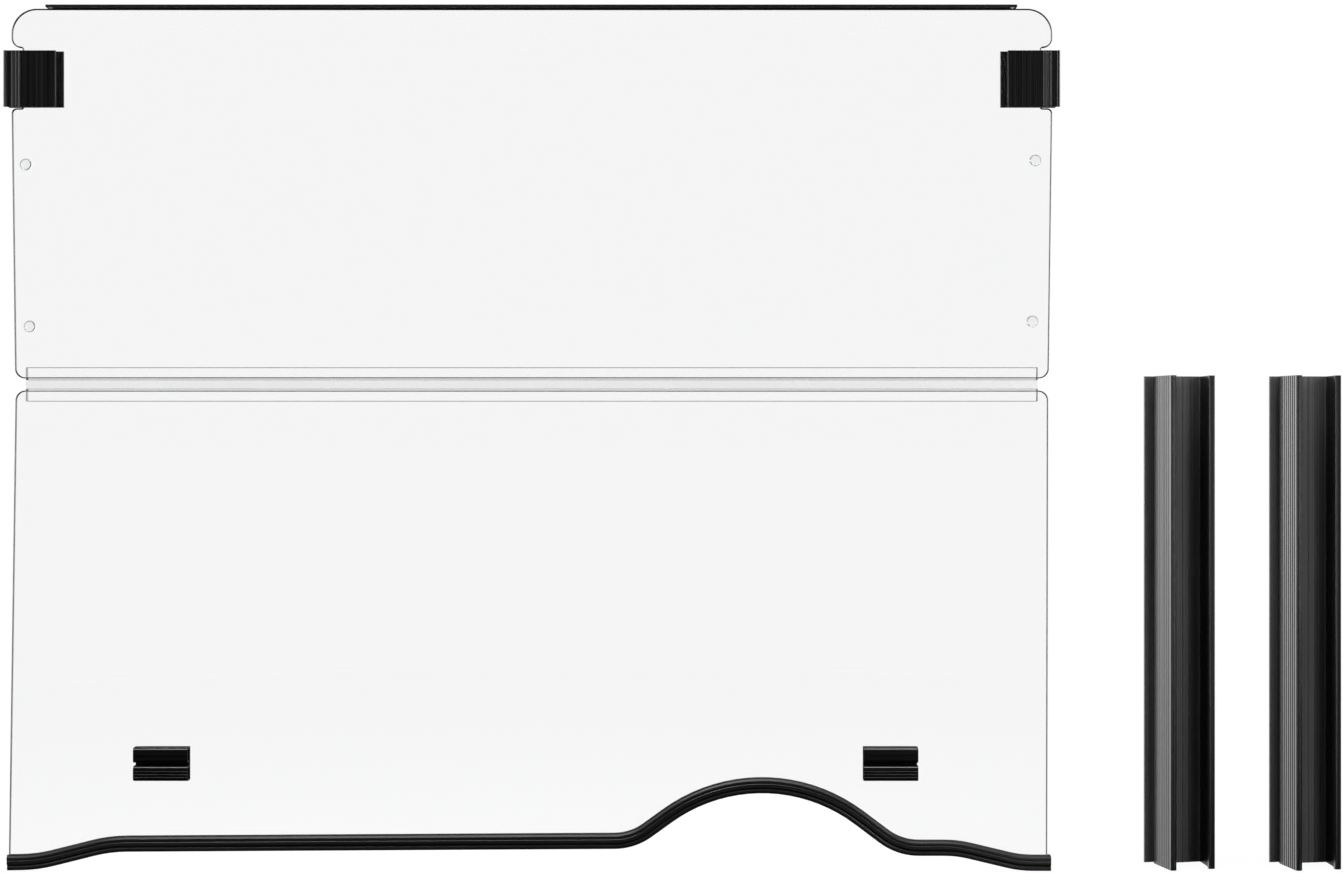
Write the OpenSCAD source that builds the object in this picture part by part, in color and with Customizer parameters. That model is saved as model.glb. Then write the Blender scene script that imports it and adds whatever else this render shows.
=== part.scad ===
// Fold-down clear windshield for a small open vehicle, with its two loose side channels.
// +X runs to the right seen from outside, +Z is up, and -Y points away from the driver.
// The origin is on the centre line, in the sheet's mid-plane, at the seal's lowest point.

/* [Clear sheet] */
// Thickness of both sheets
sheet_t = 4.8; // [3:0.1:6]
// Distance of the lower sheet's left foot corner from the centre line
foot_left = 523; // [516:0.5:523]
// Distance of the lower sheet's right foot corner from the centre line
foot_right = 515; // [515:0.5:523]
// Half of the lower sheet's width at its top edge
waist_half = 516; // [514:0.5:518]
// Half of the upper sheet's width at its shoulders
shoulder_half = 520; // [518:0.5:524]
// Height of the upper sheet's top edge
sheet_top_z = 861.5; // [850:0.5:880]
// Corner radius of the sheets along the fold
fold_corner_r = 10; // [4:1:10]
// Radius of the shoulders' outer corners
shoulder_r = 25; // [20:1:28]
// Depth of the notch that each retaining clip sits in
notch_depth = 11; // [9:0.5:13]
// Height of the notch's lower end
notch_low_z = 762; // [755:1:765]
// Height of the notch's upper end
notch_high_z = 822.5; // [821:0.5:824]

/* [Fold hinge] */
// Height of the fold line
fold_z = 485.5; // [480:0.5:490]
// Gap between the two sheets
fold_gap = 12; // [10:1:14]
// Half of the hinge strip's length
hinge_half = 505; // [480:1:506]
// How far a hinge leg reaches over its sheet
hinge_reach = 11; // [8:1:14]
// Wall of a hinge leg
hinge_wall = 1.6; // [1.2:0.1:2]
// Thickness of the flexible web
web_t = 1; // [0.8:0.1:1.5]

/* [Top strip] */
// Half of the strip's length
strip_half = 483.5; // [470:0.5:492]
// Thickness of the strip
strip_t = 2.4; // [1.6:0.1:2.4]
// How far the strip stands out in front of the sheet
strip_reach = 9; // [6:0.5:10]
// Distance of each rivet from the centre line
rivet_x = 479; // [460:1:482]
// Radius of a rivet's shank
rivet_r = 1.25; // [1:0.05:1.5]
// Radius of a rivet's head
rivet_head_r = 2.2; // [1.8:0.1:2.6]

/* [Bottom seal] */
// Height of the whole seal section
seal_h = 16; // [14:0.5:18]
// How far the seal's grip reaches up over the sheet
seal_grip = 9; // [7:0.5:10]
// Thickness of the seal's grip
seal_t = 9.6; // [8.6:0.2:11]
// Thickness of the seal's hollow bulb
bulb_t = 8; // [7:0.5:9]
// Height of the crest over the steering hump
hump_z = 134.5; // [120:0.5:140]

/* [Retaining clips] */
// Length of a retaining clip
clip_len = 56; // [50:1:58]
// Width of the square strut that a clip hooks round
strut_w = 31.8; // [25:0.1:32]
// Thickness of a clip's front leaf
clip_leaf_t = 2.8; // [2:0.1:3.5]

/* [Catch clips] */
// Length of a catch clip
catch_len = 54; // [40:1:70]
// Depth of a catch clip in front of its pad
catch_depth = 14; // [12:0.5:14]
// Height of one hollow lobe
lobe_h = 15; // [13:0.5:16]
// Width of the groove that takes the top strip's front edge
groove_w = 3.2; // [3:0.1:4]
// Thickness of the adhesive pad
pad_t = 1; // [0.8:0.1:1.2]

/* [Bumpers] */
// Radius of a bumper's foot
bumper_r = 6; // [5:0.5:7]
// Height of a bumper
bumper_h = 2.4; // [2:0.1:2.6]

/* [Side channels] */
// Length of each side channel
channel_len = 495.3; // [400:0.1:600]
// Opening of the slot that takes the sheet's edge
slot_w = 5.4; // [5.2:0.1:6]
// Thickness of the flange behind the slot
flange_t = 3; // [2.5:0.1:3.5]
// Distance from the flange's back to the free edges of the two walls
channel_depth = 50.6; // [45:0.1:55]

/* [Hidden] */

$fn = 48;
arc_step = 4;                       // degrees between the points of a rounded corner
front_y = -sheet_t / 2;
back_y = sheet_t / 2;
lower_top_z = fold_z - fold_gap / 2 + 0.5;
upper_low_z = lower_top_z + fold_gap;
hinge_y = sheet_t / 2 + hinge_wall; // half of a hinge leg's thickness
body_gap = 0.3;                     // clearance between pieces that move apart
rivet_inset = 3.2;                  // distance of a rivet from the strip's front edge

// Upper edge of the seal, left to right: x, z and the radius of the bend there
seal_bends = [
    [-495, 17, 130],
    [-423, 35, 150],
    [98, 38, 48],
    [232, hump_z, 170],
    [370, 31, 50],
    [426, 31, 120],
    [489, 16, 100],
];
seal_end_z = [16.5, 16];
foot_x = [-foot_left, foot_right];
seal_x = foot_x + [-1, 3.5];        // the seal runs past each side of the sheet
seal_base = 2;                      // solid floor of the grip under the sheet's edge
bulb_wall = 1.6;

// Right half of the upper sheet from the fold upward: x, z and corner radius
notch_root_r = 1.5;
notch_low_r = 5;
notch_high_r = notch_depth - notch_root_r;
upper_half = [
    [waist_half + 0.5, upper_low_z, fold_corner_r],
    [shoulder_half, notch_low_z, notch_low_r],
    [shoulder_half - notch_depth, notch_low_z, notch_root_r],
    [shoulder_half - notch_depth, notch_high_z, notch_root_r],
    [shoulder_half, notch_high_z, notch_high_r],
    [shoulder_half, sheet_top_z, shoulder_r],
];

// Retaining clip: distances outward from the notch, and towards the driver
clip_z = (notch_low_z + notch_high_z) / 2 - 1;
clip_front = front_y - body_gap - clip_leaf_t;
clip_slot = sheet_t / 2 + body_gap;
clip_mid_t = 2.5;
clip_mid = clip_slot + clip_mid_t;
clip_wall = 3.5;
clip_rear = clip_mid + strut_w + 1;
clip_side = 11;
clip_trim = 6.5;                    // the hook behind the sheet is shorter by this much at each end
clip_leaf_reach = 34;
clip_mid_reach = 40.5;
clip_rear_reach = 20;
clip_grip = 1.7;                    // how far the rear leg's end bends in on the strut
clip_grip_len = 4;
finger_reach = 18.5;
clip_beads = [2.5, 5.5, 9];
bead_r = 1.2;
finger_bead_r = 1.6;

// Catch clip: the groove meets the strip's front edge when the sheet is folded down
strip_z = sheet_top_z + strip_t / 2;
catch_z = 2 * fold_z - strip_z;
catch_base = 2.4;
catch_wall = 1.8;
mouth_r = 3.2;                      // the groove opens towards the front with this radius
lobe_r = 3.4;
catch_x = [-368, 357.5];            // stuck on by hand, so not quite even
catch_rib_z = [5.5, 8.5, 11.5];     // ribs on the lower lobe, down from the groove
pad_margin = 1.5;

// Bumpers, stuck on by hand where the struts pass behind the sheet
bumper_at = [[-506.5, 706], [503.5, 710], [-502.5, 544], [500.5, 549]];
bumper_dome_h = 3;                  // height of the dome before its top is cut flat
bumper_ball = (bumper_r * bumper_r + bumper_dome_h * bumper_dome_h) / (2 * bumper_dome_h);

// Side channel: u across the section, v towards the open side
channel_web_v = flange_t + slot_w;
channel_web_t = 2.8;
channel_wall = 3;
channel_right_u = [53, 47.6];       // outer face of the leaning wall at its root and edge
slot_depth = 29;
flange_overhang = 7;
lip_w = 6.3;                        // thickened free edge of each wall
lip_h = 4.6;
lip_slope = 1;
lip_bead_r = 0.9;
channel_at = [[628, 48, 12.3], [756, 48, 9.3]];
rib_r = 0.45;
wall_rib_pitch = 4.6;
web_rib_u = [9, 16, 23.5, 31, 38];

function unit(v) = v / norm(v);
function left_of(d) = [-d.y, d.x];
function flat(v) = [v.x, v.y];
function turned(v, a) = [v.x * cos(a) - v.y * sin(a), v.x * sin(a) + v.y * cos(a)];
function turn_at(d1, d2) = atan2(d1.x * d2.y - d1.y * d2.x, d1 * d2);

// Points of a bend of radius r at v, between p and q, each with its left-hand normal
function bend(p, v, q, r) =
    let (d1 = unit(v - p), d2 = unit(q - v), a = turn_at(d1, d2))
    let (start = v - d1 * r * tan(abs(a) / 2), steps = max(1, ceil(abs(a) / arc_step)))
    r == 0 ? [[v, left_of(d1)]]
           : [for (i = [0:steps])
                 let (n = turned(left_of(d1), a * i / steps))
                 [start + sign(a) * r * (left_of(d1) - n), n]];

// Closed outline with a rounded corner at each [x, y, r]
function rounded(v) =
    let (n = len(v))
    [for (i = [0:n - 1])
        for (b = bend(flat(v[(i + n - 1) % n]), flat(v[i]), flat(v[(i + 1) % n]), v[i].z))
            b[0]];

// Seal line from one side to the other, between the x values in ends
function seal_line(ends) =
    let (v = concat([[ends[0], seal_end_z[0], 0]], seal_bends, [[ends[1], seal_end_z[1], 0]]))
    let (n = len(v), first = unit(flat(v[1]) - flat(v[0])), last = unit(flat(v[n - 1]) - flat(v[n - 2])))
    concat([[flat(v[0]), left_of(first)]],
           [for (i = [1:n - 2]) each bend(flat(v[i - 1]), flat(v[i]), flat(v[i + 1]), v[i].z)],
           [[flat(v[n - 1]), left_of(last)]]);

function beside(line, d) = [for (p = line) p[0] + d * p[1]];
function reversed(v) = [for (i = [len(v) - 1:-1:0]) v[i]];
function mirrored(v) = [for (p = reversed(v)) [-p.x, p.y, p.z]];

// A plate of thickness t in the X-Z plane
module plate(t, points) {
    rotate([90, 0, 0])
        linear_extrude(height = t, center = true)
            polygon(points);
}

// A band along the seal line, from high to low measured from the seal's upper edge
module band(t, high, low, ends) {
    line = seal_line(ends);
    plate(t, concat(beside(line, -low), reversed(beside(line, -high))));
}

module lower_panel() {
    foot = beside(seal_line(foot_x), -seal_grip);
    right = bend(foot[len(foot) - 1], [waist_half, lower_top_z], [0, lower_top_z], fold_corner_r);
    left = bend([0, lower_top_z], [-waist_half, lower_top_z], foot[0], fold_corner_r);
    color("lightcyan", 0.5)
        plate(sheet_t, concat(foot, [for (b = right) b[0]], [for (b = left) b[0]]));
}

module upper_panel() {
    color("lightcyan", 0.5)
        plate(sheet_t, rounded(concat(upper_half, mirrored(upper_half))));
}

// A clear channel over a sheet's edge at edge_z; up is 1 for a sheet above the fold
module hinge_leg(edge_z, up) {
    base = edge_z - up * hinge_wall;
    far = edge_z + up * hinge_reach;
    color("gainsboro")
        difference() {
            translate([-hinge_half, -hinge_y, min(base, far)])
                cube([2 * hinge_half, 2 * hinge_y, abs(far - base)]);
            translate([-hinge_half - 1, front_y, min(edge_z, far + up)])
                cube([2 * hinge_half + 2, sheet_t, hinge_reach + 1]);
        }
}

module hinge_lower_leg() {
    hinge_leg(lower_top_z, -1);
}

module hinge_upper_leg() {
    hinge_leg(upper_low_z, 1);
}

module hinge_web() {
    low = lower_top_z + hinge_wall;
    high = upper_low_z - hinge_wall - body_gap;
    color("whitesmoke")
        translate([-hinge_half, -hinge_y, low])
            cube([2 * hinge_half, web_t, high - low]);
}

module top_strip() {
    color("black")
        difference() {
            translate([-strip_half, front_y - strip_reach, sheet_top_z])
                cube([2 * strip_half, strip_reach + sheet_t, strip_t]);
            for (side = [-1, 1])
                rivet_place(side)
                    translate([0, 0, -1])
                        cylinder(h = strip_t + 2, r = rivet_r);
        }
}

module rivet_place(side) {
    translate([side * rivet_x, front_y - strip_reach + rivet_inset, sheet_top_z])
        children();
}

module strip_rivet(side) {
    head_h = 1;
    color("silver")
        rivet_place(side) {
            cylinder(h = strip_t, r = rivet_r);
            translate([0, 0, strip_t])
                cylinder(h = head_h, r1 = rivet_head_r, r2 = rivet_head_r / 2);
            translate([0, 0, -head_h])
                cylinder(h = head_h, r1 = rivet_head_r / 2, r2 = rivet_head_r);
        }
}

module bottom_seal() {
    past = seal_x + [-1, 1];
    bulb_top = seal_grip + seal_base;
    foot_round = 1;                 // the bulb's upper and lower edges are stepped in by this much
    color("dimgray")
        difference() {
            union() {
                band(seal_t, 0, bulb_top, seal_x);
                band(bulb_t - 2 * foot_round, bulb_top - foot_round / 2, seal_h, seal_x);
                band(bulb_t, bulb_top + foot_round / 2, seal_h - foot_round, seal_x);
            }
            band(sheet_t, -1, seal_grip, past);
            band(bulb_t - 2 * bulb_wall, bulb_top + bulb_wall / 2, seal_h - bulb_wall, past);
        }
}

// Section of the right-hand retaining clip
module clip_section() {
    polygon(rounded([
        [-clip_leaf_reach, clip_front, 1],
        [finger_reach, clip_front, 1.3],
        [finger_reach, -clip_slot, 1],
        [clip_side + clip_wall, -clip_slot, 0.8],
        [clip_side + clip_wall, clip_rear + clip_wall, 2],
        [-clip_rear_reach, clip_rear + clip_wall, 1],
        [-clip_rear_reach, clip_rear - clip_grip, 0.5],
        [-clip_rear_reach + clip_grip_len, clip_rear, 2],
        [clip_side, clip_rear, 1.5],
        [clip_side, clip_mid, 1.5],
        [-clip_mid_reach, clip_mid, 1],
        [-clip_mid_reach, clip_slot, 1],
        [body_gap, clip_slot, 0.3],
        [body_gap, -clip_slot, 0.3],
        [-clip_leaf_reach, -clip_slot, 1],
    ]));
    for (a = clip_beads)
        translate([a, clip_front + 0.5])
            circle(r = bead_r);
    translate([finger_reach - finger_bead_r - 0.4, clip_front + finger_bead_r / 2])
        circle(r = finger_bead_r);
}

module retaining_clip(side) {
    hook_len = clip_len - 2 * clip_trim;
    beyond = 4 * clip_rear;
    color("black")
        mirror([side < 0 ? 1 : 0, 0, 0])
            translate([shoulder_half - notch_depth, 0, clip_z]) {
                linear_extrude(height = hook_len, center = true)
                    clip_section();
                linear_extrude(height = clip_len, center = true)
                    intersection() {
                        clip_section();
                        translate([-beyond / 2, clip_mid - beyond])
                            square(beyond);
                    }
            }
}

// Carries a section drawn as depth in front of the sheet and height onto a catch's place
module catch_place(x, length) {
    translate([x - length / 2, front_y, catch_z])
        rotate([90, 0, 90])
            linear_extrude(height = length)
                mirror([1, 0])
                    children();
}

module lobe_outline(from, to, low, high, low_r, high_r) {
    polygon(rounded([[from, low, 0], [to, low, low_r], [to, high, high_r], [from, high, 0]]));
}

module lobe() {
    low = groove_w / 2;
    front = pad_t + catch_depth;
    difference() {
        lobe_outline(pad_t, front, low, low + lobe_h, mouth_r, lobe_r);
        lobe_outline(pad_t + catch_base, front - catch_wall,
                     low + catch_wall, low + lobe_h - catch_wall, mouth_r - catch_wall, lobe_r - catch_wall);
    }
}

module catch_clip(x) {
    half_h = groove_w / 2 + lobe_h;
    color("black")
        catch_place(x, catch_len) {
            lobe();
            mirror([0, 1])
                lobe();
            translate([pad_t, -half_h])
                square([catch_base, 2 * half_h]);
            for (q = catch_rib_z)
                translate([pad_t + catch_depth, -groove_w / 2 - q])
                    circle(r = rib_r);
        }
}

module catch_pad(x) {
    half_h = groove_w / 2 + lobe_h - pad_margin;
    color("darkgray")
        catch_place(x, catch_len - 2 * pad_margin)
            translate([0, -half_h])
                square([pad_t, 2 * half_h]);
}

module bumper(i) {
    color("white", 0.6)
        translate([bumper_at[i].x, back_y, bumper_at[i].y])
            rotate([-90, 0, 0])
                intersection() {
                    cylinder(h = bumper_h, r = bumper_r);
                    translate([0, 0, bumper_dome_h - bumper_ball])
                        sphere(r = bumper_ball);
                }
}

// Section of a side channel: a flange and web that hold the sheet, and a U for the strut
module channel_section() {
    web = channel_web_v + channel_web_t;
    edge = channel_depth;
    right_root = channel_right_u[0];
    right_edge = channel_right_u[1];
    right_in = right_edge - lip_w;
    polygon(rounded([
        [-flange_overhang, 0, 0.8],
        [slot_depth + channel_wall, 0, 1],
        [slot_depth + channel_wall, channel_web_v, 0.6],
        [right_root, channel_web_v, 1.6],
        [right_edge, edge, 1.2],
        [right_in, edge, 1.2],
        [right_in, edge - lip_h, 1],
        [right_edge - channel_wall, edge - lip_h - lip_slope, 0.8],
        [right_root - channel_wall, web, 1.2],
        [channel_wall, web, 1.2],
        [channel_wall, edge - lip_h - lip_slope, 0.8],
        [lip_w, edge - lip_h, 1],
        [lip_w, edge, 1.2],
        [0, edge, 1.2],
        [0, channel_web_v, 0.6],
        [slot_depth, channel_web_v, 0.5],
        [slot_depth, flange_t, 0.5],
        [-flange_overhang, flange_t, 0.8],
    ]));
    for (v = [channel_web_v + wall_rib_pitch:wall_rib_pitch:edge - lip_h])
        translate([0, v])
            circle(r = rib_r);
    for (u = web_rib_u)
        translate([u, web])
            circle(r = rib_r * 1.6);
    translate([lip_w / 2, edge])
        circle(r = lip_bead_r);
}

module side_channel(i) {
    color("black")
        translate([channel_at[i][0], channel_at[i][1], 0])
            rotate([0, 0, channel_at[i][2]])
                linear_extrude(height = channel_len)
                    mirror([0, 1])
                        channel_section();
}

lower_panel();
upper_panel();
hinge_lower_leg();
hinge_web();
hinge_upper_leg();
top_strip();
strip_rivet(-1);  // strip_rivet_left
strip_rivet(1);  // strip_rivet_right
bottom_seal();
retaining_clip(-1);  // retaining_clip_left
retaining_clip(1);  // retaining_clip_right
catch_pad(catch_x[0]);  // catch_pad_left
catch_pad(catch_x[1]);  // catch_pad_right
catch_clip(catch_x[0]);  // catch_clip_left
catch_clip(catch_x[1]);  // catch_clip_right
bumper(0);  // bumper_upper_left
bumper(1);  // bumper_upper_right
bumper(2);  // bumper_lower_left
bumper(3);  // bumper_lower_right
side_channel(0);  // side_channel_a
side_channel(1);  // side_channel_b
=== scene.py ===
import math

import bpy
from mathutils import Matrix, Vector
from mathutils.geometry import tessellate_polygon


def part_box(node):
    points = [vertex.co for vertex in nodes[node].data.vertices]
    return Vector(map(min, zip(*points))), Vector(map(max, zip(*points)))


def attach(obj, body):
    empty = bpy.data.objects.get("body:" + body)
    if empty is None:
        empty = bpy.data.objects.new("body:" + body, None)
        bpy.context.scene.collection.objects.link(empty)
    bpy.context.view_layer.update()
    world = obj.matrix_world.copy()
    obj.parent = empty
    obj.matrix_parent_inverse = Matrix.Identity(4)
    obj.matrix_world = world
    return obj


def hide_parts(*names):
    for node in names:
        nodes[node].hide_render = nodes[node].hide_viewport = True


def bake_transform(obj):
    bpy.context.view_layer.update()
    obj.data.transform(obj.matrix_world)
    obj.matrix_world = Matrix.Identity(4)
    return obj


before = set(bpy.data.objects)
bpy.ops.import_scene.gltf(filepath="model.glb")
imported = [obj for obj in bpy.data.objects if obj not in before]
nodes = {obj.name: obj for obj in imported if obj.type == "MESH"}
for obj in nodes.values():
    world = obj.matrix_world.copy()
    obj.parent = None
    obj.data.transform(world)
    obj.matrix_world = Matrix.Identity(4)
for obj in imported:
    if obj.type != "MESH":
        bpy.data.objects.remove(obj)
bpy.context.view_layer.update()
MM = 0.001

# ---------------------------------------------------------------- materials


def material(name):
    """A new material with its Principled shader; returns the material, its nodes, links and shader."""
    made = bpy.data.materials.new(name)
    made.use_nodes = True
    tree = made.node_tree
    return made, tree.nodes, tree.links, tree.nodes["Principled BSDF"]


def set_inputs(shader, **values):
    """Sets constant shader inputs, with an underscore for each space in a name."""
    for name, value in values.items():
        shader.inputs[name.replace("_", " ")].default_value = value


def pattern_space(tree_nodes, links, source, scale):
    """Coordinates for a pattern: source is Object or UV, and scale is in cycles a metre."""
    place = tree_nodes.new("ShaderNodeTexCoord")
    mapping = tree_nodes.new("ShaderNodeMapping")
    mapping.inputs["Scale"].default_value = scale
    links.new(place.outputs[source], mapping.inputs["Vector"])
    return mapping.outputs["Vector"]


def noise(tree_nodes, links, vector, detail=2.0, roughness=0.5):
    made = tree_nodes.new("ShaderNodeTexNoise")
    made.inputs["Scale"].default_value = 1.0
    made.inputs["Detail"].default_value = detail
    made.inputs["Roughness"].default_value = roughness
    links.new(vector, made.inputs["Vector"])
    return made.outputs["Fac"]


def ramp(tree_nodes, links, value, low, high, start=0.0, end=1.0):
    """Maps value from the range start..end to the range low..high."""
    made = tree_nodes.new("ShaderNodeMapRange")
    for name, number in zip(("From Min", "From Max", "To Min", "To Max"), (start, end, low, high)):
        made.inputs[name].default_value = number
    links.new(value, made.inputs["Value"])
    return made.outputs["Result"]


def tint(tree_nodes, links, value, dark, light, start=0.3, end=0.7):
    """A colour between dark and light, by value."""
    made = tree_nodes.new("ShaderNodeValToRGB")
    made.color_ramp.elements[0].position = start
    made.color_ramp.elements[1].position = end
    made.color_ramp.elements[0].color = (*dark, 1)
    made.color_ramp.elements[1].color = (*light, 1)
    links.new(value, made.inputs["Fac"])
    return made.outputs["Color"]


def bump(tree_nodes, links, shader, height, distance, strength=1.0):
    made = tree_nodes.new("ShaderNodeBump")
    made.inputs["Strength"].default_value = strength
    made.inputs["Distance"].default_value = distance
    links.new(height, made.inputs["Height"])
    links.new(made.outputs["Normal"], shader.inputs["Normal"])


def stretched(across, along_value, along):
    """Cycles a metre on each axis: along_value on the axis number along, and across on the others."""
    scale = [across] * 3
    scale[along] = along_value
    return scale


def extruded_black(name, source, along, dark, light, rough, line_depth):
    """Black plastic or rubber drawn through a die, with fine lines along the axis number along."""
    made, tree_nodes, links, shader = material(name)
    fine = stretched(900.0, 2.0, along)
    broad = stretched(60.0, 6.0, along)
    lines = noise(tree_nodes, links, pattern_space(tree_nodes, links, source, fine), 3.0, 0.6)
    cloud = noise(tree_nodes, links, pattern_space(tree_nodes, links, source, broad), 3.0, 0.5)
    streaks = tree_nodes.new("ShaderNodeMath")
    streaks.operation = "MULTIPLY"
    links.new(lines, streaks.inputs[0])
    links.new(ramp(tree_nodes, links, cloud, 0.7, 1.3), streaks.inputs[1])
    links.new(tint(tree_nodes, links, streaks.outputs[0], dark, light), shader.inputs["Base Color"])
    polish = ramp(tree_nodes, links, lines, rough - 0.07, rough + 0.09, 0.3, 0.7)
    links.new(polish, shader.inputs["Roughness"])
    bump(tree_nodes, links, shader, lines, line_depth)
    set_inputs(shader, IOR=1.5)
    return made


def clear_plastic(name, color, rough_low, rough_high, ior, wave_depth):
    """Clear sheet or moulding with a faint waviness and a slight change of polish."""
    made, tree_nodes, links, shader = material(name)
    smears = noise(tree_nodes, links, pattern_space(tree_nodes, links, "Object", (9, 9, 7)), 4.0, 0.55)
    waves = noise(tree_nodes, links, pattern_space(tree_nodes, links, "Object", (5, 5, 3)), 1.0, 0.4)
    links.new(ramp(tree_nodes, links, smears, rough_low, rough_high, 0.35, 0.75), shader.inputs["Roughness"])
    bump(tree_nodes, links, shader, waves, wave_depth)
    set_inputs(shader, Base_Color=(*color, 1), IOR=ior, Transmission_Weight=1.0)
    return made


def cut_edge_painted_shading(name, dark, light, clear, upright_painted_light=None):
    """A machined edge with fine cutter marks across it, coloured dark as painted shade for the dark line a
    clear part's edge shows; upright, if given, is the colour of its vertical runs, lighter as painted light.
    """
    made, tree_nodes, links, shader = material(name)
    marks = noise(tree_nodes, links, pattern_space(tree_nodes, links, "Object", (700, 60, 700)), 2.0, 0.6)
    color = tint(tree_nodes, links, marks, dark, light)
    # Painted light: faces whose normal is near level, the edge's vertical runs, get the lighter upright
    # colour.
    if upright_painted_light:
        facing = tree_nodes.new("ShaderNodeTexCoord")
        parts = tree_nodes.new("ShaderNodeSeparateXYZ")
        level = tree_nodes.new("ShaderNodeMath")
        level.operation = "ABSOLUTE"
        painted_light_mix = tree_nodes.new("ShaderNodeMix")
        painted_light_mix.data_type = "RGBA"
        links.new(facing.outputs["Normal"], parts.inputs["Vector"])
        links.new(parts.outputs["Z"], level.inputs[0])
        links.new(ramp(tree_nodes, links, level.outputs[0], 1.0, 0.0, 0.05, 0.15), painted_light_mix.inputs["Factor"])
        links.new(color, painted_light_mix.inputs["A"])
        painted_light_mix.inputs["B"].default_value = (*upright_painted_light, 1)
        color = painted_light_mix.outputs["Result"]
    links.new(color, shader.inputs["Base Color"])
    links.new(ramp(tree_nodes, links, marks, 0.25, 0.5), shader.inputs["Roughness"])
    bump(tree_nodes, links, shader, marks, 0.00005)
    set_inputs(shader, IOR=1.2, Transmission_Weight=clear)
    return made


def metal(name, dark, light, rough):
    """Bare metal with a fine grain."""
    made, tree_nodes, links, shader = material(name)
    marks = noise(tree_nodes, links, pattern_space(tree_nodes, links, "Object", (1800, 1800, 1800)), 2.0, 0.5)
    links.new(ramp(tree_nodes, links, marks, rough - 0.08, rough + 0.1), shader.inputs["Roughness"])
    links.new(tint(tree_nodes, links, marks, dark, light), shader.inputs["Base Color"])
    set_inputs(shader, Metallic=1.0)
    return made


def foam(name, dark, light):
    """Matt closed-cell foam."""
    made, tree_nodes, links, shader = material(name)
    cells = noise(tree_nodes, links, pattern_space(tree_nodes, links, "Object", (2500, 2500, 2500)), 2.0, 0.6)
    links.new(tint(tree_nodes, links, cells, dark, light), shader.inputs["Base Color"])
    bump(tree_nodes, links, shader, cells, 0.00008)
    set_inputs(shader, Roughness=0.8)
    return made


ALONG_X = 0
ALONG_Z = 2
BLACK = (0.002, 0.002, 0.0022)
SOFT_BLACK = (0.006, 0.006, 0.0065)
clear_sheet = clear_plastic("clear_sheet", (0.985, 0.987, 0.987), 0.0, 0.012, 1.49, 0.00002)
# Sheet edge: near-black is painted shade for the clear sheet's dark edge line, and its vertical runs are
# painted light in lighter grey. The fine marks are cutter marks.
sheet_edge_painted_shading = cut_edge_painted_shading("sheet_edge_painted_shading", (0.004, 0.004, 0.004), (0.014, 0.014, 0.014), 0.04, (0.16, 0.16, 0.16))
# Hinge leg edge: grey painted shade for the outline a clear leg's edge shows. The fine marks are cutter
# marks.
leg_edge_painted_shade = cut_edge_painted_shading("leg_edge_painted_shade", (0.06, 0.062, 0.062), (0.12, 0.122, 0.122), 0.4)
# Bumper rim: grey painted shade for the darker sloping sides of a clear dome.
bumper_rim_painted_shade = cut_edge_painted_shading("bumper_rim_painted_shade", (0.2, 0.205, 0.205), (0.35, 0.355, 0.355), 0.5)
hinge_clear = clear_plastic("hinge_clear", (0.998, 0.998, 0.998), 0.0, 0.03, 1.08, 0.00005)
hinge_flex = clear_plastic("hinge_flex", (0.84, 0.845, 0.845), 0.2, 0.35, 1.49, 0.0002)
bumper_clear = clear_plastic("bumper_clear", (0.97, 0.98, 0.98), 0.02, 0.06, 1.45, 0.0001)
upright_black = extruded_black("upright_black", "Object", ALONG_Z, BLACK, SOFT_BLACK, 0.25, 0.00003)
# Channel web and flange: grey, lighter than the black walls, as painted light for the lit back of the
# channel.
channel_web_painted_light = extruded_black("channel_web_painted_light", "Object", ALONG_Z,
                                (0.03, 0.03, 0.032), (0.09, 0.09, 0.093), 0.5, 0.00008)
level_black = extruded_black("level_black", "Object", ALONG_X, BLACK, SOFT_BLACK, 0.22, 0.00004)
strip_black = extruded_black("strip_black", "Object", ALONG_X,
                             (0.001, 0.001, 0.001), (0.004, 0.004, 0.004), 0.4, 0.00002)
seal_black = extruded_black("seal_black", "UV", ALONG_X,
                            (0.004, 0.004, 0.004), (0.011, 0.011, 0.011), 0.33, 0.00004)
rivet_metal = metal("rivet_metal", (0.8, 0.8, 0.81), (0.896, 0.896, 0.9072), 0.5)
pad_foam = foam("pad_foam", (0.16, 0.16, 0.17), (0.3, 0.3, 0.31))

# ---------------------------------------------------------------- mesh helpers


def rounded(corners, step=math.radians(15)):
    """A closed outline from (x, y, radius) corners, with arcs at the corners."""
    points = []
    for i, (x, y, r) in enumerate(corners):
        here = Vector((x, y))
        into = (here - Vector(corners[i - 1][:2])).normalized()
        out = (Vector(corners[(i + 1) % len(corners)][:2]) - here).normalized()
        turn = math.atan2(into.x * out.y - into.y * out.x, into.dot(out))
        if r == 0:
            points.append(here)
            continue
        side = math.copysign(1, turn)
        normal = Vector((-into.y, into.x))
        start = here - into * r * math.tan(abs(turn) / 2)
        count = max(1, math.ceil(abs(turn) / step))
        for k in range(count + 1):
            a = turn * k / count
            n = Vector((normal.x * math.cos(a) - normal.y * math.sin(a),
                        normal.x * math.sin(a) + normal.y * math.cos(a)))
            points.append(start + side * r * (normal - n))
    return points


def ellipse(centre, half_w, half_h, count):
    """An ellipse of count points, its middle at (0, centre)."""
    turns = [2 * math.pi * k / count for k in range(count)]
    return [Vector((half_w * math.cos(a), centre + half_h * math.sin(a))) for a in turns]


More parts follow.
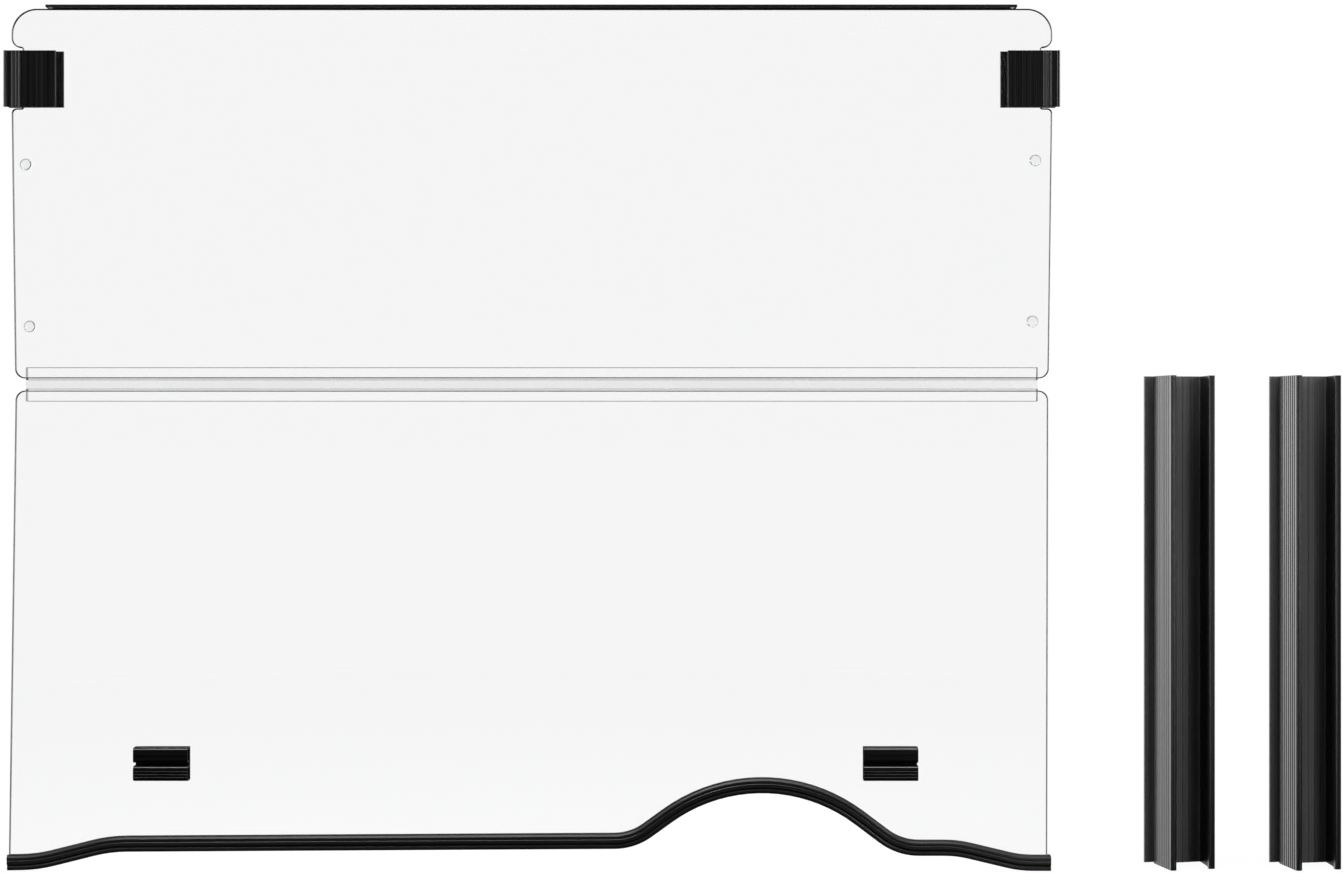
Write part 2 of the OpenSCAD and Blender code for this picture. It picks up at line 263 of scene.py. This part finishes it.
def new_piece(name, points, faces, materials, smooth_angle=35):
    """A new object, smooth except across edges sharper than smooth_angle degrees."""
    mesh = bpy.data.meshes.new(name)
    mesh.from_pydata(points, [], faces)
    mesh.validate()
    piece = bpy.data.objects.new(name, mesh)
    bpy.context.scene.collection.objects.link(piece)
    for m in materials:
        mesh.materials.append(m)
    mesh.shade_smooth()
    mesh.set_sharp_from_angle(angle=math.radians(smooth_angle))
    return piece


FACE_SLOT = 0
EDGE_SLOT = 1
SHARP_ANGLE = math.radians(40)
WELD_DISTANCE = 0.002 * MM


def dress(name, face_material, bevel=0.0, segments=2, shrink=0.0, edge_material=None):
    """Gives a CAD node its material, rounds its edges by bevel metres and shrinks it by shrink metres."""
    piece = nodes[name]
    mesh = piece.data
    mesh.materials.clear()
    mesh.materials.append(face_material)
    for polygon in mesh.polygons:
        polygon.material_index = FACE_SLOT
    mesh.shade_flat()
    weld = piece.modifiers.new("weld", "WELD")
    weld.merge_threshold = WELD_DISTANCE
    if shrink:
        pull = piece.modifiers.new("pull", "DISPLACE")
        pull.strength = -shrink
        pull.mid_level = 0
    if bevel:
        cut = piece.modifiers.new("bevel", "BEVEL")
        cut.width = bevel
        cut.segments = segments
        cut.limit_method = "ANGLE"
        cut.angle_limit = SHARP_ANGLE
        cut.miter_outer = "MITER_ARC"
        if edge_material:
            mesh.materials.append(edge_material)
            cut.material = EDGE_SLOT
    return piece


# ---------------------------------------------------------------- sheets

SHEET_BEVEL = 1.1 * MM
FLAT_ANGLE = math.radians(0.5)
RIM_ANGLE = math.radians(80)

for name in ("lower_panel", "upper_panel"):
    sheet = dress(name, clear_sheet, SHEET_BEVEL, 3, edge_material=sheet_edge_painted_shading)
    rim = sheet.modifiers["bevel"]
    rim.use_clamp_overlap = False
    rim.miter_outer = "MITER_SHARP"
    rim.angle_limit = RIM_ANGLE
    flatten = sheet.modifiers.new("flatten", "DECIMATE")
    flatten.decimate_type = "DISSOLVE"
    flatten.angle_limit = FLAT_ANGLE
    sheet.modifiers.move(sheet.modifiers.find("flatten"), sheet.modifiers.find("bevel"))
    # The sheet's rim faces take the edge material with its painted shade and painted light.
    for polygon in sheet.data.polygons:
        polygon.material_index = FACE_SLOT if abs(polygon.normal.y) > 0.5 else EDGE_SLOT

# ---------------------------------------------------------------- black and small parts

CLIPS = ("retaining_clip_left", "retaining_clip_right")
CATCHES = ("catch_clip_left", "catch_clip_right")
CATCH_PADS = ("catch_pad_left", "catch_pad_right")
CHANNELS = ("side_channel_a", "side_channel_b")
RIVETS = ("strip_rivet_left", "strip_rivet_right")
BUMPERS = ("bumper_upper_left", "bumper_upper_right", "bumper_lower_left", "bumper_lower_right")
LEGS = ("hinge_lower_leg", "hinge_upper_leg")
PULLED_IN = 0.02 * MM       # keeps a clear part's faces off the sheet's
CHANNEL_WEB_Y = 0.02
RIM_SLOPE = 0.72

for name in CLIPS + CHANNELS:
    dress(name, upright_black, 0.25 * MM)
for name in CHANNELS:
    channel_mesh = nodes[name].data
    channel_mesh.materials.append(channel_web_painted_light)
    # Front-facing faces at the back of the channel take the lighter colour: painted light.
    for polygon in channel_mesh.polygons:
        if polygon.center.y > CHANNEL_WEB_Y and polygon.normal.y < -0.5:
            polygon.material_index = EDGE_SLOT
for name in CATCHES:
    dress(name, level_black, 0.25 * MM)
for name in CATCH_PADS:
    dress(name, pad_foam)
dress("top_strip", strip_black, 0.3 * MM)
for name in RIVETS:
    dress(name, rivet_metal, 0.15 * MM)
for name in BUMPERS:
    bumper = dress(name, bumper_clear, shrink=PULLED_IN)
    bumper.data.materials.append(bumper_rim_painted_shade)
    bumper.data.shade_smooth()
    split = bumper.modifiers.new("split", "EDGE_SPLIT")
    split.split_angle = math.radians(20)
    # Faces sloping away from the front take the grey rim colour: painted shade by slope.
    for polygon in bumper.data.polygons:
        polygon.material_index = EDGE_SLOT if abs(polygon.normal.y) < RIM_SLOPE else FACE_SLOT
for name in LEGS:
    # The legs' rounded edges take the grey edge colour, which is painted shade.
    dress(name, hinge_clear, 0.5 * MM, 2, PULLED_IN, leg_edge_painted_shade)
for name in ("lower_panel", "upper_panel") + LEGS + BUMPERS:
    nodes[name].visible_shadow = False

# ---------------------------------------------------------------- hinge web

WEB_ROWS = 12
WEB_END_GAP = 0.1 * MM
web_low, web_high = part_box("hinge_web")
leg_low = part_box("hinge_upper_leg")[0].z

web_points = []
web_faces = []
for row in range(WEB_ROWS + 1):
    z = web_low.z + (leg_low - web_low.z) * row / WEB_ROWS
    for x in (web_low.x + WEB_END_GAP, web_high.x - WEB_END_GAP):
        web_points.append((x, web_low.y, z))
        web_points.append((x, web_high.y, z))
    if row:
        a = 4 * (row - 1)
        for i, j in ((0, 2), (2, 3), (3, 1), (1, 0)):
            web_faces.append((a + i, a + j, a + j + 4, a + i + 4))
last = 4 * WEB_ROWS
web_faces.append((1, 3, 2, 0))
web_faces.append((last, last + 2, last + 3, last + 1))
web = new_piece("hinge_web_flex", web_points, web_faces, [hinge_flex])
web.visible_shadow = False
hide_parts("hinge_web")
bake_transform(web)

# ---------------------------------------------------------------- foot seal

FOOT_LIMIT_Z = 0.3
SEAL_GRIP = 9.0 * MM
sheet_mesh = nodes["lower_panel"].data
foot = sorted({(round(v.co.x, 6), round(v.co.z, 6)) for v in sheet_mesh.vertices
               if v.co.z < FOOT_LIMIT_Z and v.co.y < 0})
foot = [Vector(p) for p in foot]
seal_low, seal_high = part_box("bottom_seal")
foot[0] += (foot[0] - foot[1]).normalized() * (foot[0].x - seal_low.x)
foot[-1] += (foot[-1] - foot[-2]).normalized() * (seal_high.x - foot[-1].x)

# Half of the seal's section: half thickness, distance below its upper edge, corner radius, in millimetres
GRIP_HALF = 2.42
GRIP_FLOOR = -8.9
SEAL_DEPTH = 16.0
SEAL_HALF = [
    (GRIP_HALF, 0.5, 0), (3.3, 0.0, 0.4), (3.4, 1.3, 0.2), (4.8, 3.2, 0.4),                  # lip, shoulder
    (4.8, 5.6, 0.2), (4.4, 6.1, 0.2), (4.8, 6.6, 0.2), (4.8, 9.6, 0.8), (3.7, 10.9, 0.4),    # grooved grip
    (3.35, 11.5, 0.3), (4.0, 12.6, 0.8), (4.0, 15.0, 1.1), (2.4, SEAL_DEPTH, 0.9),           # bulb
]
seal_right = rounded([(y, -s, r) for y, s, r in SEAL_HALF] + [(0, -SEAL_DEPTH, 0), (0, 0.5, 0)])
seal_right = [p for p in seal_right if p.x > 0]
seal_outline = [Vector((-p.x, p.y)) for p in seal_right]
seal_outline += reversed(seal_right)
seal_outline += [Vector((GRIP_HALF, GRIP_FLOOR)), Vector((-GRIP_HALF, GRIP_FLOOR))]
seal_hole = ellipse(-13.2, 2.4, 1.3, 20)


def sweep(name, loops, path, across, materials):
    """Sweeps closed loops of (y, height) in mm along an x-z path; across is the height on the path."""
    ring = sum(len(loop) for loop in loops)
    points, faces, lengths = [], [], [0.0]
    for k, p in enumerate(path):
        before = path[max(k - 1, 0)]
        after = path[min(k + 1, len(path) - 1)]
        if k:
            lengths.append(lengths[-1] + (p - before).length)
        along = (after - before).normalized()
        normal = Vector((-along.y, along.x))
        for loop in loops:
            for q in loop:
                s = p + normal * (q.y * MM - across)
                points.append((s.x, q.x * MM, s.y))
    starts = [0]
    for loop in loops:
        starts.append(starts[-1] + len(loop))
    for k in range(len(path) - 1):
        for start, end in zip(starts, starts[1:]):
            for i in range(start, end):
                j = start if i + 1 == end else i + 1
                faces.append((k * ring + i, k * ring + j, (k + 1) * ring + j, (k + 1) * ring + i))
    cap = tessellate_polygon([[(q.x, q.y, 0) for q in loop] for loop in loops])
    end = (len(path) - 1) * ring
    faces += [tuple(t) for t in cap] + [tuple(end + i for i in reversed(t)) for t in cap]
    piece = new_piece(name, points, faces, materials)
    layer = piece.data.uv_layers.new(name="UVMap")
    around = [0.0] * ring
    for start, stop, loop in zip(starts, starts[1:], loops):
        for i in range(start + 1, stop):
            around[i] = around[i - 1] + (loop[i - start] - loop[i - start - 1]).length * MM
    for corner in piece.data.loops:
        k, i = divmod(corner.vertex_index, ring)
        layer.data[corner.index].uv = (lengths[k], around[i])
    return piece


def fine_path(path, step):
    """The same path with points no further apart than step."""
    out = [path[0]]
    for a, b in zip(path, path[1:]):
        count = max(1, math.ceil((b - a).length / step))
        out += [a.lerp(b, k / count) for k in range(1, count + 1)]
    return out


SEAL_STEP = 12 * MM
seal = sweep("foot_seal", [seal_outline, seal_hole], fine_path(foot, SEAL_STEP), -SEAL_GRIP, [seal_black])
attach(seal, "lower_sheet")
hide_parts("bottom_seal")

# ---------------------------------------------------------------- stage

WHITE = 1.0
FLOOR_HALF = 60.0
NEAR_FLOOR = 1.1        # the floor is lit by its lamps within this radius, and is plain white past FAR_FLOOR
FAR_FLOOR = 2.0
floor_mesh = bpy.data.meshes.new("floor")
floor_mesh.from_pydata(
    [(-FLOOR_HALF, -FLOOR_HALF, -MM), (FLOOR_HALF, -FLOOR_HALF, -MM),
     (FLOOR_HALF, FLOOR_HALF, -MM), (-FLOOR_HALF, FLOOR_HALF, -MM)], [], [(0, 1, 2, 3)])
floor = bpy.data.objects.new("floor", floor_mesh)
bpy.context.scene.collection.objects.link(floor)
floor.visible_glossy = False
floor.visible_diffuse = False
floor_look, floor_nodes, floor_links, floor_shader = material("floor_look")
floor_place = floor_nodes.new("ShaderNodeTexCoord")
away = floor_nodes.new("ShaderNodeVectorMath")
away.operation = "LENGTH"
floor_links.new(floor_place.outputs["Object"], away.inputs[0])
near = ramp(floor_nodes, floor_links, away.outputs["Value"], 1.0, 0.0, NEAR_FLOOR, FAR_FLOOR)
floor_links.new(tint(floor_nodes, floor_links, near, (0, 0, 0), (0.04, 0.04, 0.04), 0, 1),
                floor_shader.inputs["Base Color"])
floor_path = floor_nodes.new("ShaderNodeLightPath")
direct = ramp(floor_nodes, floor_links, floor_path.outputs["Glossy Depth"], 1.0, 0.05)
glow = floor_nodes.new("ShaderNodeMath")
glow.operation = "MULTIPLY"
floor_links.new(ramp(floor_nodes, floor_links, near, WHITE, 0.95), glow.inputs[0])
floor_links.new(direct, glow.inputs[1])
floor_links.new(glow.outputs[0], floor_shader.inputs["Emission Strength"])
set_inputs(floor_shader, Roughness=0.9, Specular_IOR_Level=0.0, Emission_Color=(1, 1, 1, 1))
floor_mesh.materials.append(floor_look)

world = bpy.data.worlds.new("studio")
bpy.context.scene.world = world
world.use_nodes = True
wn, wl = world.node_tree.nodes, world.node_tree.links
background = wn["Background"]
background.inputs["Color"].default_value = (1, 1, 1, 1)


def maths(operation, a, b):
    """A Math node in the world, whose inputs are numbers or sockets."""
    made = wn.new("ShaderNodeMath")
    made.operation = operation
    for k, value in enumerate((a, b)):
        if isinstance(value, (int, float)):
            made.inputs[k].default_value = value
        else:
            wl.new(value, made.inputs[k])
    return made.outputs[0]


# Seen straight or through clear plastic the room is white; reflected, it is bright behind and dark in front
place = wn.new("ShaderNodeTexCoord")
split = wn.new("ShaderNodeSeparateXYZ")
wl.new(place.outputs["Generated"], split.inputs["Vector"])
behind = ramp(wn, wl, split.outputs["Y"], 0.03, 4.5, -0.05, 0.7)
aside = ramp(wn, wl, maths("ABSOLUTE", split.outputs["X"], 0), 0.03, 1.0, 0.34, 0.56)
above = ramp(wn, wl, split.outputs["Z"], 0.12, 1.0, -0.45, 0.05)
path = wn.new("ShaderNodeLightPath")
unreflected = maths("LESS_THAN", path.outputs["Glossy Depth"], 0.5)
through = maths("MULTIPLY", path.outputs["Is Transmission Ray"], unreflected)
seen = maths("MAXIMUM", path.outputs["Is Camera Ray"], through)
strength = wn.new("ShaderNodeMix")
wl.new(seen, strength.inputs["Factor"])
wl.new(maths("MULTIPLY", maths("MULTIPLY", behind, aside), above), strength.inputs["A"])
strength.inputs["B"].default_value = WHITE
wl.new(strength.outputs["Result"], background.inputs["Strength"])


def area_light(name, place, aim, size, power):
    """A rectangular soft box at place, turned towards aim."""
    data = bpy.data.lights.new(name, "AREA")
    data.shape = "RECTANGLE"
    data.size, data.size_y = size
    data.energy = power
    lamp = bpy.data.objects.new(name, data)
    lamp.location = place
    lamp.rotation_mode = "QUATERNION"
    lamp.rotation_quaternion = (Vector(aim) - Vector(place)).to_track_quat("-Z", "Y")
    bpy.context.scene.collection.objects.link(lamp)


middle = Vector((0.0, 0.0, 0.43))
area_light("left_box", (-2.4, -1.3, 0.9), middle, (0.5, 1.8), 45)
area_light("right_box", (2.6, -1.0, 0.9), middle, (0.5, 1.8), 30)
area_light("channel_box", (1.03, -1.05, 0.3), (0.75, 0, 0.25), (0.25, 0.8), 5)
area_light("top_box", (0.2, -0.9, 2.7), middle, (3.2, 0.8), 90)

# ---------------------------------------------------------------- camera

PICTURE_W = 1343
CAMERA_BACK = 2.26
CAMERA_X = 0.1395
CAMERA_Z = 0.434
camera_data = bpy.data.cameras.new("camera")
camera = bpy.data.objects.new("camera", camera_data)
bpy.context.scene.collection.objects.link(camera)
bpy.context.scene.camera = camera
view_w = PICTURE_W * MM     # one millimetre of the sheets' plane to each of the picture's columns
camera_data.sensor_width = 36
camera_data.lens = camera_data.sensor_width * CAMERA_BACK / view_w
camera.location = (CAMERA_X, -CAMERA_BACK, CAMERA_Z)
camera.rotation_euler = (math.radians(90), 0, 0)

scene = bpy.context.scene
scene.view_settings.view_transform = "Standard"
scene.cycles.use_denoising = True
scene.cycles.transmission_bounces = 16
scene.cycles.max_bounces = 20
scene.cycles.transparent_max_bounces = 16
